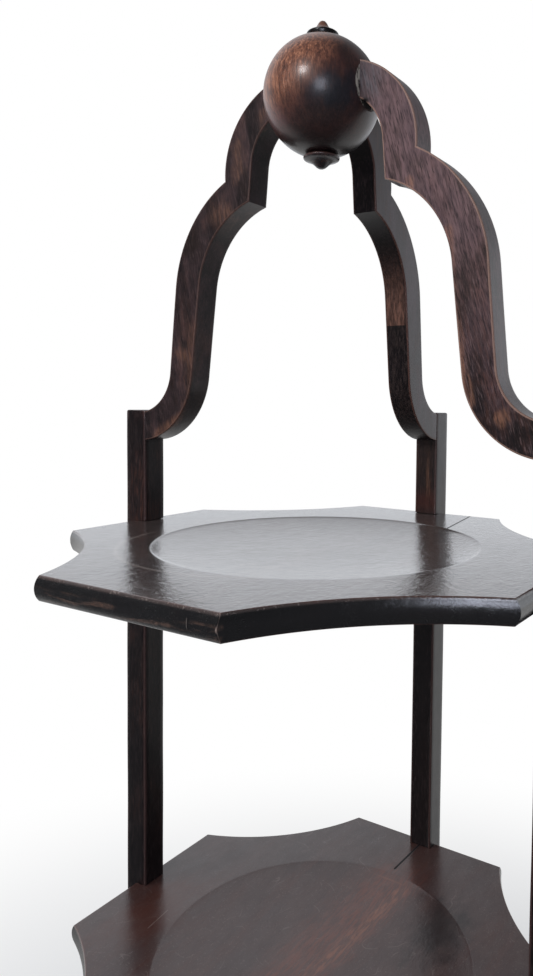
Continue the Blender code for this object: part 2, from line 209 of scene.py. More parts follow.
def board_outline(bulge, notched, cuts, side_steps=36, arc_steps=72, notch_steps=8):
    """One board's outline with a share of its edge's bulge, anticlockwise from the right side.

    Straight sides at right angles join hollow arcs, and a notched side goes in round its post.
    A corner that was cut early or late moves along its side, and the arc's points follow in
    proportion. Gives the points and, for each, its bearing on the dish's rim.
    """
    half_chord = (HALF_FLATS - HALF_SIDE) / math.sqrt(2)
    radius = (half_chord ** 2 + SCALLOP_DEPTH ** 2) / (2 * SCALLOP_DEPTH)
    centre = (HALF_FLATS + HALF_SIDE) / 2 + (radius - SCALLOP_DEPTH) / math.sqrt(2)
    flat = HALF_FLATS + EDGE_BULGE * bulge
    reach = radius - SCALLOP_BULGE * bulge
    corner = centre - math.sqrt(reach ** 2 - (centre - flat) ** 2)
    notch_half = POST_HALF + FIT
    notch_floor = POST_INNER + HOUSING_DEPTH - FIT
    notch_turn = math.asin(notch_half / DISH_RADIUS)
    corner_turn = math.atan2(HALF_SIDE, HALF_FLATS)
    outline, bearings = [], []
    order = list(SIDES)
    for quarter, name in enumerate(SIDES):
        before, after = cuts[name]
        onward = cuts[order[(quarter + 1) % 4]][0]
        side = np.linspace(0, 1, side_steps)
        reach_low, reach_high = corner + before, corner + after
        low = np.stack([np.full(side_steps, flat),
                        -reach_low + (reach_low - notch_half) * side], axis=1)
        low_turn = -corner_turn + (corner_turn - notch_turn) * side
        between = np.linspace(-1, 1, notch_steps + 2)[1:-1]
        if name in notched:
            inner = np.stack([np.full(notch_steps, notch_floor),
                              notch_half * np.linspace(-1, 1, notch_steps)], axis=1)
        else:
            inner = np.stack([np.full(notch_steps, flat), notch_half * between], axis=1)
        inner_turn = notch_turn * between
        high = np.stack([np.full(side_steps, flat),
                         notch_half + (reach_high - notch_half) * side], axis=1)
        start = math.atan2(corner - centre, flat - centre)
        end = math.atan2(flat - centre, corner - centre)
        share = np.linspace(0, 1, arc_steps + 1)[1:-1]
        hollow = arc_points((centre, centre), reach, start, end, arc_steps + 1)[1:-1]
        hollow = hollow + np.stack([onward * share, after * (1 - share)], axis=1)
        hollow_turn = corner_turn + (np.pi / 2 - 2 * corner_turn) * share
        points = np.concatenate([low, inner, high, hollow])
        turns = np.concatenate([low_turn, inner_turn, -low_turn[::-1], hollow_turn])
        flatwise = turned_about(np.column_stack([points, np.zeros(len(points))]), 90 * quarter)
        outline.append(flatwise[:, :2])
        bearings.append(turns + quarter * np.pi / 2)
    return np.concatenate(outline), np.concatenate(bearings)


def board(name, notched, finish):
    """A board: from the middle of its underside, round the edge, and over the top into the dish.

    The edge is an arc from arris to arris. Rings between the outline and the dish's rim are
    shares of the one and the other. At a share s of the rim's radius the dish lies DISH_DEPTH
    times (1 - s to the power DISH_POWER) below its rim, and LIP_DROP more, reached within a few
    times LIP_WIDTH of the rim as 1 less an exponential.
    """
    low, top = TIER_LOW[name], TIER_TOP[name]
    thick = top - low
    edge_radius = (thick ** 2 / 4 + EDGE_BULGE ** 2) / (2 * EDGE_BULGE)
    opening = math.asin(thick / 2 / edge_radius)
    rings, wear = [], []
    cuts = HAND_CUT[name]
    base, bearings = board_outline(0.0, notched, cuts)
    rim = np.stack([np.cos(bearings), np.sin(bearings)], axis=1)

    def add(flat, height, distance):
        rings.append(np.column_stack([flat, np.full(len(flat), height)]))
        wear.append(np.full(len(flat), distance))

    for share in (0.0, 0.3, 0.6, 0.85):
        add(rim * DISH_RADIUS * 0.15 * (1 - share) + base * share, low, PLAIN * (1 - share))
    ease = 0.0004 / (thick / 2)
    for step in np.concatenate([[-1.0, -0.97], np.linspace(-0.9, 0.9, 11), [0.97, 1.0]]):
        angle = opening * step
        bulge = 1 - edge_radius * (1 - math.cos(angle)) / EDGE_BULGE
        height = (low + top) / 2 + edge_radius * math.sin(angle)
        outline, _ = board_outline(bulge - (ease if abs(step) == 1 else 0), notched, cuts)
        add(outline, height, (1 - abs(step)) * thick / 2)
    for share in (0.004, 0.012, 0.03, 0.08, 0.2, 0.4, 0.6, 0.8, 0.95):
        add(base * (1 - share) + rim * DISH_RADIUS * share, top, share * 0.03)
    for out in (LIP_EASE, LIP_EASE / 2, 0.0):
        add(rim * (DISH_RADIUS + out), top - LIP_SINK * (1 - out / LIP_EASE) ** 2, PLAIN)
    shares = 1 - np.array([0.0003, 0.0007, 0.0012, 0.0018, 0.0026, 0.0036, 0.0050]) / DISH_RADIUS
    for share in np.concatenate([shares, np.linspace(0.93, 0.05, 28)]):
        drop = LIP_SINK + LIP_DROP[name] * (1 - math.exp(-(1 - share) * DISH_RADIUS / LIP_WIDTH))
        add(rim * DISH_RADIUS * share, top - drop - DISH_DEPTH * (1 - share ** DISH_POWER), PLAIN)
    points, faces = tube(np.array(rings))
    edge = np.concatenate([np.array(wear).ravel(), [PLAIN, PLAIN]])
    return piece("board_" + name, points, faces, finish, "tier_" + name, edge)


# Posts

def section(half_x, half_y, ease, steps=3, spread=(0.20, 0.5, 0.80)):
    """A rectangle with rounded corners, anticlockwise, and each point's distance from a corner.

    Each corner is a quarter arc, and each side after it has points at the shares in spread.
    """
    corners = ((1, -1), (1, 1), (-1, 1), (-1, -1))
    points, wear = [], []
    for turn, (sx, sy) in enumerate(corners):
        middle = np.array([sx * (half_x - ease), sy * (half_y - ease)])
        start = (turn - 1) * np.pi / 2
        points.append(arc_points(middle, ease, start, start + np.pi / 2, steps + 1))
        wear.append(np.zeros(steps + 1))
        nx, ny = corners[(turn + 1) % 4]
        following = np.array([nx * (half_x - ease), ny * (half_y - ease)])
        outward = np.array([np.cos(turn * np.pi / 2), np.sin(turn * np.pi / 2)]) * ease
        length = np.linalg.norm(following - middle)
        share = np.array(spread)[:, None]
        points.append(middle + outward + (following - middle) * share)
        wear.append(np.minimum(share, 1 - share)[:, 0] * length)
    return np.concatenate(points), np.concatenate(wear)


def post(name, node, side, top, finish, seed):
    """A square post: its rounded section carried up Z, let in round each board that it holds.

    A level is a height, how far the section draws in at the post's ends, and whether its inner
    face is cut back to the floor of a housing.
    """
    ease = POST_EASE
    half_x = (POST_OUTER - POST_INNER) / 2
    middle = (POST_INNER + POST_OUTER) / 2
    flat, near = section(half_x, POST_HALF, ease)
    levels = [(0.0, ease, 0), (ease * 0.3, ease * 0.3, 0), (ease, 0.0, 0)]
    levels += [(z, 0.0, 0) for z in np.arange(POST_STEP / 2, top - 0.003, POST_STEP)]
    levels += [(top - ease, 0.0, 0), (top - ease * 0.3, ease * 0.3, 0), (top, ease, 0)]
    floor = POST_INNER + HOUSING_DEPTH - middle
    step = 0.00005
    for tier in TIERS:
        if TIER_LOW[tier] > top:
            continue
        low, high = TIER_LOW[tier] - FIT, TIER_TOP[tier] + FIT
        levels = [row for row in levels if not low - 0.001 < row[0] < high + 0.001]
        levels += [(low, 0.0, 0), (low + step, 0.0, 1)]
        levels += [(high - step, 0.0, 1), (high, 0.0, 0)] if high < top else [(top, 0.0, 1)]
    rings, wear = [], []
    for height, draw, cut in sorted(levels):
        shape = flat * [1 - draw / half_x, 1 - draw / POST_HALF]
        if cut:
            shape = np.column_stack([np.maximum(shape[:, 0], floor), shape[:, 1]])
        shape = shape + waver(height, 0.00012, seed)
        rings.append(np.column_stack([shape + [middle, 0.0], np.full(len(shape), height)]))
        wear.append(np.minimum(near, min(height, top - height)))
    points, faces = tube(np.array(rings))
    edge = np.concatenate([np.array(wear).ravel(), [0.0, 0.0]])
    return piece(name, turned_about(points, SIDES[side]), faces, finish, node, edge)


# Arms

def arm_edges(grow):
    """The outer and inner edge of an arm, station by station, from the ball to the post.

    Each edge is a crown arc, a shoulder arc, a straight run that touches the shoulder and the
    foot arc, and the foot arc down to the plane of the butt. The inner crown arc goes on in a
    straight run that leans out to the cusp on the shoulder.
    """
    butt = POST_INNER - FIT
    foot = (POST_INNER + FOOT_REACH, POST_TOP - UPPER_TOP - FOOT_STEP
            + math.sqrt(FOOT_RADIUS ** 2 - FOOT_REACH ** 2))
    shoulder = (foot[0] - FOOT_RADIUS - SHOULDER_RADIUS - ARM_LEAN, CROWN[1] - SHOULDER_DROP)

    def touching(shoulder_radius, foot_radius):
        """The bearing from the shoulder of a straight run that touches both arcs."""
        across, up = foot[0] - shoulder[0], foot[1] - shoulder[1]
        swing = math.acos((shoulder_radius + foot_radius) / math.hypot(across, up))
        return math.atan2(up, across) + swing

    def below(shoulder_radius, foot_radius, notch_bearing):
        """Shoulder arc, straight run and foot arc, from the notch down to the butt."""
        touch = touching(shoulder_radius, foot_radius)
        end = math.pi * 1.5 - math.asin((foot[0] - butt) / foot_radius)
        bend = arc_points(shoulder, shoulder_radius, notch_bearing, touch, SHOULDER_STEPS)
        sweep = arc_points(foot, foot_radius, touch + math.pi, end, FOOT_STEPS)
        share = np.linspace(0, 1, RUN_STEPS)[1:-1, None]
        run = bend[-1] * (1 - share) + sweep[0] * share
        return np.concatenate([bend, run, sweep])

    outer = CROWN_RADIUS + grow
    wide = SHOULDER_RADIUS + grow
    gap = (shoulder[0] - CROWN[0], shoulder[1] - CROWN[1])
    span = math.hypot(*gap)
    swing = math.acos((outer ** 2 + span ** 2 - wide ** 2) / (2 * outer * span))
    notch = math.atan2(gap[1], gap[0]) + swing
    crown = arc_points(CROWN, outer, math.acos((ARM_END - CROWN[0]) / outer), notch, CROWN_STEPS)
    bearing = math.atan2(crown[-1, 1] - shoulder[1], crown[-1, 0] - shoulder[0])
    outside = np.concatenate([crown, below(wide, FOOT_RADIUS - grow, bearing)[1:]])

    inner = INNER_RADIUS - grow
    tight = SHOULDER_RADIUS - SHOULDER_BAND - grow
    slope, rise = math.sin(INNER_LEAN), math.cos(INNER_LEAN)
    leave = (INNER[0] + inner * rise, INNER[1] + inner * slope)
    across, up = leave[0] - shoulder[0], leave[1] - shoulder[1]
    slide = up * rise - across * slope
    drop = slide - math.sqrt(slide ** 2 - across ** 2 - up ** 2 + tight ** 2)
    start = math.acos((ARM_END - INNER[0]) / inner)
    bend = inner * (start - INNER_LEAN)
    length = np.linspace(0, bend + drop, CROWN_STEPS)
    angle = start - np.minimum(length, bend) / inner
    past = np.maximum(length - bend, 0)
    crown = np.stack([INNER[0] + inner * np.cos(angle) + past * slope,
                      INNER[1] + inner * np.sin(angle) - past * rise], axis=1)
    bearing = math.atan2(crown[-1, 1] - shoulder[1], crown[-1, 0] - shoulder[0])
    inside = np.concatenate([crown, below(tight, FOOT_RADIUS + FOOT_BAND + grow, bearing)[1:]])
    return outside, inside


def arm(name, finish, seed):
    """A sawn arm: at each station a rounded rectangle between the outer and the inner edge.

    The rectangle's points go over the outer edge, down one face, over the inner edge and up the
    other face. A point on a rounded arris lies between the edge and the same edge drawn in by
    ARRIS, at the cosine and the sine of its angle.
    """
    flat_half = POST_HALF - ARRIS
    outer, inner = arm_edges(0.0)
    outer_in, inner_in = arm_edges(-ARRIS)
    along = np.concatenate([[0], np.cumsum(np.linalg.norm(np.diff(outer, axis=0), axis=1))])
    drift = waver(along, 0.00015, seed)[:, None]
    columns, wear = [], []

    def add(flat, across, distance):
        columns.append(np.column_stack([flat[:, 0], np.full(len(flat), across), flat[:, 1]]))
        wear.append(np.broadcast_to(distance, len(flat)))

    def arris(full, drawn_in, angles, way):
        for angle in angles:
            across = way * (flat_half + ARRIS * math.sin(angle))
            add(drawn_in + (full - drawn_in) * math.cos(angle), across, 0.0)

    def side(shares, across):
        for share in shares:
            flat = outer_in * (1 - share) + inner_in * share
            add(flat, across, np.minimum(share, 1 - share) * band)

    face = np.array([-1.0, -0.86, -0.4, 0.4, 0.86, 1.0]) * flat_half
    rounding = np.radians([30, 60])
    shares = np.array([0.0, 0.05, 0.15, 0.35, 0.65, 0.85, 0.95, 1.0])
    band = np.linalg.norm(outer_in - inner_in, axis=1)
    centre = (outer + inner) / 2
    lean = (outer - centre) / np.linalg.norm(outer - centre, axis=1)[:, None] * drift
    outer, outer_in = outer + lean, outer_in + lean
    inner, inner_in = inner + lean * 0.6, inner_in + lean * 0.6
    for across in face:
        add(outer, across, flat_half - abs(across))
    arris(outer, outer_in, rounding, 1)
    side(shares, POST_HALF)
    arris(inner, inner_in, rounding[::-1], 1)
    for across in face[::-1]:
        add(inner, across, flat_half - abs(across))
    arris(inner, inner_in, rounding, -1)
    side(shares[::-1], -POST_HALF)
    arris(outer, outer_in, rounding[::-1], -1)
    rings = np.stack(columns[::-1], axis=1)
    rings[:, :, 2] += UPPER_TOP
    points, faces = tube(rings)
    edge = np.concatenate([np.stack(wear[::-1], axis=1).ravel(), [0.01, 0.01]])
    return piece(name + "_arm", turned_about(points, SIDES[name]), faces, finish,
                 "arm_" + name, edge)


# Ball, cap and pendant

def ball(finish):
    """A sphere with a small flat at each pole, turned a little unevenly.

    Three flats are then planed on it, where the arms butt.
    """
    end = math.acos(CAP_FLAT / BALL_RADIUS)
    angle = np.linspace(-end, end, 110)
    radius = BALL_RADIUS + waver(angle * BALL_RADIUS, 0.00006, 5)
    profile = np.stack([radius * np.cos(angle), BALL_CENTRE + radius * np.sin(angle)], axis=1)
    points, faces = tube(revolve(profile, 180))
    made = piece("turned_ball", points, faces, finish, "ball")
    shape = bmesh.new()
    shape.from_mesh(made.data)
    for way in ((1, 0, 0), (0, 1, 0), (-1, 0, 0)):
        cut = bmesh.ops.bisect_plane(shape, geom=shape.verts[:] + shape.edges[:] + shape.faces[:],
                                     plane_co=Vector(way) * BALL_FLAT, plane_no=way, clear_outer=True)
        rim = [part for part in cut["geom_cut"] if isinstance(part, bmesh.types.BMEdge)]
        bmesh.ops.contextual_create(shape, geom=rim)
    bmesh.ops.recalc_face_normals(shape, faces=shape.faces[:])
    shape.to_mesh(made.data)
    shape.free()
    made.data.shade_smooth()
    made.data.set_sharp_from_angle(angle=math.radians(14.0))
    return made


def cap(name, node, knots, start, way, finish):
    """A small turned cap on the ball: a smooth curve through the knots, turned round Z.

    way is 1 where it points up and -1 where it points down.
    """
    profile = smooth_profile(knots, 6)
    profile[:, 1] = start + way * profile[:, 1]
    points, faces = tube(revolve(profile[::way], 64))
    return piece(name, points, faces, finish, node)


# Finishes

class Value:
    """A shader socket; on numbers, + - * / and powers add their Math nodes."""

    def __init__(self, nodes, socket):
        self.nodes = nodes
        self.socket = socket

    def math(self, operation, *terms):
        return self.nodes.node("Math", {"operation": operation}, dict(enumerate(terms)))

    def __add__(self, other):
        return self.math("ADD", self, other)

    def __sub__(self, other):
        return self.math("SUBTRACT", self, other)

    def __rsub__(self, other):
        return self.math("SUBTRACT", other, self)

    def __mul__(self, other):
        return self.math("MULTIPLY", self, other)

    def __truediv__(self, other):
        return self.math("DIVIDE", self, other)

    def __rtruediv__(self, other):
        return self.math("DIVIDE", other, self)

    def __pow__(self, other):
        return self.math("POWER", self, other)

    __radd__ = __add__
    __rmul__ = __mul__

    def largest(self, other):
        return self.math("MAXIMUM", self, other)

    def smallest(self, other):
        return self.math("MINIMUM", self, other)

    def size(self):
        return self.math("ABSOLUTE", self)

    def between(self, low, high):
        """0 at low, 1 at high and a smooth step between, either way round."""
        return self.nodes.node("MapRange", {"interpolation_type": "SMOOTHSTEP"},
                               {"Value": self, "From Min": low, "From Max": high})


class Nodes:
    """A node tree, built node by node."""

    def __init__(self, tree):
        self.tree = tree

    def node(self, kind, settings=None, inputs=None, output=0):
        """One shader node: its settings first, then the values or links of its sockets."""
        made = self.tree.nodes.new("ShaderNode" + kind)
        for key, value in (settings or {}).items():
            setattr(made, key, value)
        for key, value in (inputs or {}).items():
            self.feed(made.inputs[key], value)
        return Value(self, made.outputs[output])

    def feed(self, socket, value):
        """Links a value to a socket, or sets a constant."""
        if isinstance(value, Value):
            self.tree.links.new(value.socket, socket)
        else:
            socket.default_value = value

    def mix(self, factor, first, second):
        """The second colour over the first, by the factor's share."""
        colours = [(*c, 1.0) if isinstance(c, tuple) else c for c in (first, second)]
        return self.node("Mix", {"data_type": "RGBA"}, {0: factor, 6: colours[0], 7: colours[1]}, 2)

    def vector(self, operation, *terms, output=0):
        return self.node("VectorMath", {"operation": operation}, dict(enumerate(terms)), output)

    def stretched(self, vector, scale, shift=(0.0, 0.0, 0.0)):
        """A vector scaled on each axis and then shifted."""
        return self.vector("MULTIPLY_ADD", vector, scale, shift)

    def noise(self, vector, scale=1.0, detail=3.0, roughness=0.55, distortion=0.0):
        return self.node("TexNoise", {}, {"Vector": vector, "Scale": scale, "Detail": detail,
                                          "Roughness": roughness, "Distortion": distortion})

    def along(self, vector):
        """The three parts of a vector."""
        return [self.node("SeparateXYZ", {}, {0: vector}, part) for part in range(3)]


class Finish(Nodes):
    """A material on a Principled shader, its sockets named with _ for each space."""

    def __init__(self, name, **constants):
        self.material = bpy.data.materials.new(name)
        self.material.use_nodes = True
        super().__init__(self.material.node_tree)
        self.shader = self.tree.nodes["Principled BSDF"]
        self.place = self.node("TexCoord", output="Object")
        self.finish(**constants)

    def mottle(self, scale, shift=(0.0, 0.0, 0.0), **settings):
        """Noise over the piece, stretched on each axis."""
        return self.noise(self.stretched(self.place, scale, shift), **settings)

    def finish(self, **sockets):
        """Feeds the shader's sockets and gives the material."""
        for socket, value in sockets.items():
            self.feed(self.shader.inputs[socket.replace("_", " ")], value)
        return self.material


# Colours of the stain, of the wood under it and of what lies on it
NIGHT = (0.0035, 0.0028, 0.0034)
UMBER = (0.020, 0.0100, 0.0080)
# PLUM's blue tint is a painted cool sheen over the arms' plum brown stain.
PLUM = (0.053, 0.0310, 0.0375)
RUST = (0.075, 0.0270, 0.0180)
COPPER = (0.22, 0.100, 0.058)
SLATE = (0.075, 0.070, 0.080)
DUST = (0.26, 0.22, 0.20)
PUTTY = (0.50, 0.46, 0.40)


class Stain(Finish):
    """Dark stain over a reddish hardwood, laid on in coats of colour.

    grain is the axis, 0 to 2, that the fibres run along, and lean turns them about Y, in degrees.
    """

    def __init__(self, name, grain, seed, lean=0.0, **constants):
        super().__init__(name, **{"IOR": 1.5, **constants})
        shift = (seed * 3.7, seed * 1.9, seed * 5.3)
        fibres = self.place
        if lean:
            fibres = self.node("VectorRotate", {"rotation_type": "Y_AXIS"},
                               {"Vector": self.place, "Angle": math.radians(lean)})

        def texture(along, across, detail, rough=0.55, bend=0.0):
            scales = tuple(along if axis == grain else across for axis in range(3))
            return self.noise(self.stretched(fibres, scales, shift), 1.0, detail, rough, bend)

        self.figure = texture(7.0, 60.0, 4.0, bend=0.6)
        self.cloud = texture(20.0, 34.0, 5.0, 0.62)
        self.blot = texture(65.0, 120.0, 4.0, 0.6)
        self.fibre = texture(95.0, 720.0, 2.0)
        self.pores = texture(200.0, 1500.0, 1.0)
        self.hair = texture(150.0, 1500.0, 2.0, 0.7, 0.3)
        self.streak = self.fibre.between(0.40, 0.66)
        self.tone = None

    def lay(self, colour, share):
        """One more coat of colour."""
        self.tone = self.mix(share, self.tone, colour)

    def spot(self, middle, radii, ragged=0.5):
        """1 in the middle of an ellipsoid, fading to 0 at its ragged skin."""
        scale = tuple(1 / r for r in radii)
        shift = tuple(-m / r for m, r in zip(middle, radii))
        away = self.vector("LENGTH", self.stretched(self.place, scale, shift), output=1)
        return (away + (self.blot - 0.5) * ragged * 3.0).between(1.15, 0.20)

    def stroke(self, start, end, width):
        """1 on the line between two points, fading to 0 at half its width."""
        way = Vector(end) - Vector(start)
        length, way = way.length, way.normalized()
        gap = self.vector("SUBTRACT", self.place, start)
        run = self.vector("DOT_PRODUCT", gap, tuple(way), output=1).largest(0.0).smallest(length)
        aside = self.vector("SUBTRACT", gap, self.node("VectorMath", {"operation": "SCALE"},
                                                       {0: tuple(way), "Scale": run}))
        return self.vector("LENGTH", aside, output=1).between(width / 2, width / 8)

    def worn(self, colour, share, width=0.0008):
        """Wear along the arrises, ragged and thinner where the stain held."""
        edge = self.node("Attribute", {"attribute_name": "edge"}, output="Fac")
        thin = edge + (self.blot - 0.5) * width * 1.6 + (self.fibre - 0.5) * width * 0.6
        self.lay(colour, thin.between(width, width * 0.15) * share)

    def combed(self, light, dark, pale=(0.138, 0.090, 0.090)):
        """Fine fibres over the colours so far, some paler and more of them darker."""
        self.lay(pale, self.hair.between(0.53, 0.70) * light)
        self.lay(NIGHT, self.hair.between(0.50, 0.32) * dark)

    def done(self, roughness, relief=0.30, coat=None, wrinkles=0.0):
        """The material, its roughness broken up and its fibres in relief."""
        rough = roughness + (self.blot - 0.5) * 0.16 + (self.hair - 0.5) * 0.25
        height = self.fibre * 0.4 + self.hair * 0.5 + self.cloud * 0.8 + wrinkles
        bump = self.node("Bump", {}, {"Height": height, "Strength": relief, "Distance": 0.0002})
        if coat is not None:
            self.finish(Coat_Weight=coat.largest(0.0))
        return self.finish(Base_Color=self.tone, Roughness=rough.largest(0.03), Normal=bump)


def above(out, side, height):
    """A point at a height over the upper board's top."""
    return (out, side, UPPER_TOP + height)


def on_face(out, height):
    """A point on the side arms' faces towards the front."""
    return above(out, -0.0082, height)


def arm_stain(name, seed, lean):
    """An arm's stain before its own marks: plum brown with a painted bluish sheen, dark figure, fine
    rusty fibres.
    """
    made = Stain(name, 2, seed, lean, IOR=1.38, Coat_Roughness=0.22)
    made.face = made.along(made.place)[1].size().between(0.0076, 0.0080)
    made.tone = made.mix(made.cloud.between(0.34, 0.66), UMBER, PLUM)
    patches = (made.blot * 0.5 + made.figure * 0.5).between(0.50, 0.62)
    made.lay(RUST, patches * (0.25 + made.streak * 0.35))
    made.lay(NIGHT, made.figure.between(0.46, 0.64) * 0.35)
    return made


def right_arm_stain():
    """The near arm: grey and rough by the ball, rubbed to copper along its inner edge, with a painted
    cool sheen and painted shade in the joint's gap.
    """
    made = arm_stain("right_arm_stain", 8.0, 16.0)
    x, _, z = made.along(made.place)
    low = z - UPPER_TOP
    # A pale bluish grey coat, heavier towards the crown: partly the arm's own paler wood, partly a
    # painted cool sheen.
    made.lay((0.138, 0.080, 0.084), low.between(0.06, 0.20) * (0.22 + made.streak * 0.54))
    made.lay(NIGHT, made.cloud.between(0.50, 0.38) * 0.35)
    made.lay(RUST, low.between(0.17, 0.09) * made.streak * 0.40)
    made.lay(SLATE, made.spot(on_face(0.034, 0.250), (0.014, 0.02, 0.018), 0.6)
             * (0.25 + made.streak * 0.65))
    made.lay(NIGHT, low.between(0.090, 0.060) * made.blot.between(0.30, 0.6) * 0.85)
    made.lay(NIGHT, made.spot(on_face(0.100, 0.086), (0.009, 0.03, 0.022), 0.7) * 0.75)
    for z0, z1, x0, x1 in ((0.165, 0.118, 0.0825, 0.0885), (0.118, 0.080, 0.0885, 0.0965)):
        band = made.stroke(on_face(x0, z0), on_face(x1, z1), 0.0085)
        made.lay(COPPER, band * made.cloud.between(0.30, 0.60) * (0.12 + made.streak * 0.30))
    for middle, radii in ((on_face(0.1125, 0.0725), (0.0055, 0.01, 0.0050)),
                          (on_face(0.0613, 0.191), (0.003, 0.01, 0.0045))):
        made.lay(COPPER, made.spot(middle, radii, 0.6) * (0.20 + made.streak * 0.32))
    outer = (x - 0.088 + (0.14 - low) * 0.09).between(-0.002, 0.004).largest(low.between(0.165, 0.19))
    made.combed(0.38, 0.70)
    made.worn((0.25, 0.150, 0.115), outer * 0.52 + 0.10, 0.0005)
    # Painted shade: a black spot on the front face where the arm meets the ball, for the shadowed gap of
    # the joint.
    made.lay(NIGHT, made.spot(above(0.0330, -0.0085, 0.2375), (0.0045, 0.004, 0.0022), 0.4))
    return made.done(0.46, coat=(1 - made.face) * 0.50)


def left_arm_stain():
    """The left arm: dark, with copper patches at its crown, along its run and on its foot."""
    made = arm_stain("left_arm_stain", 9.0, 12.0)
    made.lay((0.120, 0.052, 0.036), made.cloud.between(0.48, 0.64) * 0.55)
    made.lay(NIGHT, 0.42 + made.figure.between(0.42, 0.58) * 0.32)
    for out, height, wide, tall in ((-0.0545, 0.222, 0.0060, 0.015), (-0.036, 0.2425, 0.004, 0.008),
                                    (-0.066, 0.190, 0.010, 0.010), (-0.100, 0.108, 0.006, 0.008)):
        made.lay(COPPER, made.spot(on_face(out, height), (wide, 0.012, tall), 0.9)
                 * (0.10 + made.streak * 0.22))
    for out, height, wide, tall in ((-0.083, 0.158, 0.004, 0.006), (-0.052, 0.199, 0.004, 0.006),
                                    (-0.096, 0.114, 0.005, 0.004)):
        made.lay(NIGHT, made.spot(on_face(out, height), (wide, 0.012, tall), 0.7) * 0.7)
    made.lay(COPPER, made.stroke(on_face(-0.090, 0.125), on_face(-0.098, 0.068), 0.009)
             * made.blot.between(0.36, 0.56) * (0.08 + made.streak * 0.20))
    made.lay(COPPER, made.stroke(on_face(-0.098, 0.068), on_face(-0.120, 0.056), 0.014)
             * (0.16 + made.streak * 0.24))
    made.combed(0.16, 0.50)
    made.worn((0.17, 0.090, 0.070), 0.26, 0.0005)
    return made.done(0.46, coat=(1 - made.face) * 0.30)


def back_arm_stain():
    """The far arm: black inside but for a warm patch that stops at a joint, smooth at the sides."""
    made = arm_stain("back_arm_stain", 10.0, 0.0)
    x, _, z = made.along(made.place)
    low = z - UPPER_TOP
    inside = x.size().between(0.0080, 0.0076)
    made.lay(NIGHT, inside * 0.88)
    patch = inside * low.between(0.1300, 0.1306) * low.between(0.185, 0.135)
    made.lay((0.17, 0.080, 0.056), patch * (0.35 + made.streak * 0.45) * x.between(0.0082, 0.0050))
    made.lay((0.030, 0.020, 0.018), inside * low.between(0.1306, 0.1300) * made.streak * 0.6)
    nick = made.stroke(above(-0.0025, 0.1075, 0.0885), above(0.0015, 0.1075, 0.0880), 0.0008)
    made.lay(DUST, nick * 0.5)
    made.combed(0.15, 0.6)
    made.worn((0.10, 0.042, 0.030), 0.6, 0.0006)
    return made.done(0.42, coat=(1 - inside) * 0.50)


def post_stain(name, seed, rusty=0.5, lit=1.0):
    """A post: near black, with rusty fibres that come and go along it, thin worn arrises and painted
    shade below the upper board; lit under 1 is a darker, shaded copy.
    """
    made = Stain(name, 2, seed, IOR=1.40, Coat_Weight=0.15, Coat_Roughness=0.15)
    made.tone = made.mix(made.cloud.between(0.34, 0.66), (0.006, 0.0038, 0.0044),
                         (0.015 * lit, 0.0080 * lit, 0.0084 * lit))
    made.lay(RUST, made.cloud.between(0.44, 0.62) * made.streak * rusty)
    # Painted shade: darker below the upper board's top, as under the board.
    made.lay(NIGHT, made.along(made.place)[2].between(UPPER_TOP, UPPER_TOP - 0.012) * 0.65)
    made.combed(0.10, 0.7)
    made.worn((0.085, 0.045, 0.042), 0.35, 0.0006)
    return made.done(0.36)


def back_post_stain():
    """The back post's face is streaked copper above the upper board and dark at its foot; below the upper
    board it is painted shade.
    """
    made = Stain("back_post_stain", 2, 5.0, Coat_Weight=0.35, Coat_Roughness=0.2)
    _, y, z = made.along(made.place)
    low = z - UPPER_TOP
    made.tone = made.mix(made.cloud.between(0.34, 0.66), (0.007, 0.0042, 0.0044), (0.022, 0.011, 0.009))
    shown = low.between(-0.004, 0.012) * y.between(0.1335, 0.1330)
    made.lay(COPPER, shown * made.figure.between(0.40, 0.62) * (0.08 + made.streak * 0.42))
    made.lay((0.045, 0.010, 0.007), low.between(0.022, 0.006) * shown * 0.8)
    # Painted shade: near black below the upper board's top.
    made.lay(NIGHT, low.between(0.0, -0.01) * 0.85)
    made.combed(0.15, 0.7)
    made.worn((0.085, 0.036, 0.028), 0.40, 0.0006)
    return made.done(0.42)


def board_stain(name, seed, tier, ior, gloss, scuffed):
    """A board before its own marks: a deep lacquer over dark reddish figure, with near-black edges.

    Specks of dust and fine curved scratches break the lacquer.
    """
    made = Stain(name, 1, seed, IOR=ior, Coat_Roughness=gloss + 0.16)
    made.gloss = gloss
    made.scuffed = scuffed
    made.dull = 0.0
    made.sides = made.along(made.place)
    x, y, z = made.sides
    made.out = (x * x + y * y) ** 0.5
    made.rim = (TIER_TOP[tier] - z).between(0.0006, 0.0016) * made.out.between(0.094, 0.100)
    made.top = 1 - made.rim
    made.wrinkles = made.mottle((300.0, 210.0, 300.0), detail=4.0, roughness=0.6, distortion=0.9)
    made.tone = made.mix(made.cloud.between(0.36, 0.64), (0.024, 0.0170, 0.0175), (0.038, 0.0240, 0.0225))
    made.lay((0.050, 0.0175, 0.0125), made.figure.between(0.50, 0.66) * (0.25 + made.streak * 0.35))
    made.lay(NIGHT, made.pores.between(0.58, 0.72) * 0.5)
    made.lay((0.0045, 0.0050, 0.0058), made.rim * 0.92)
    fine = made.mottle((950.0, 800.0, 950.0), detail=1.0)
    made.lay(DUST, fine.between(0.62, 0.72) * made.top * (0.42 * scuffed))
    curl = made.mottle((24.0, 30.0, 24.0), detail=1.0, distortion=0.8)
    scratch = (curl - 0.5).size().between(0.0050, 0.001) * made.blot.between(0.48, 0.58)
    made.lay(DUST, scratch * made.top * (0.60 * scuffed))
    return made


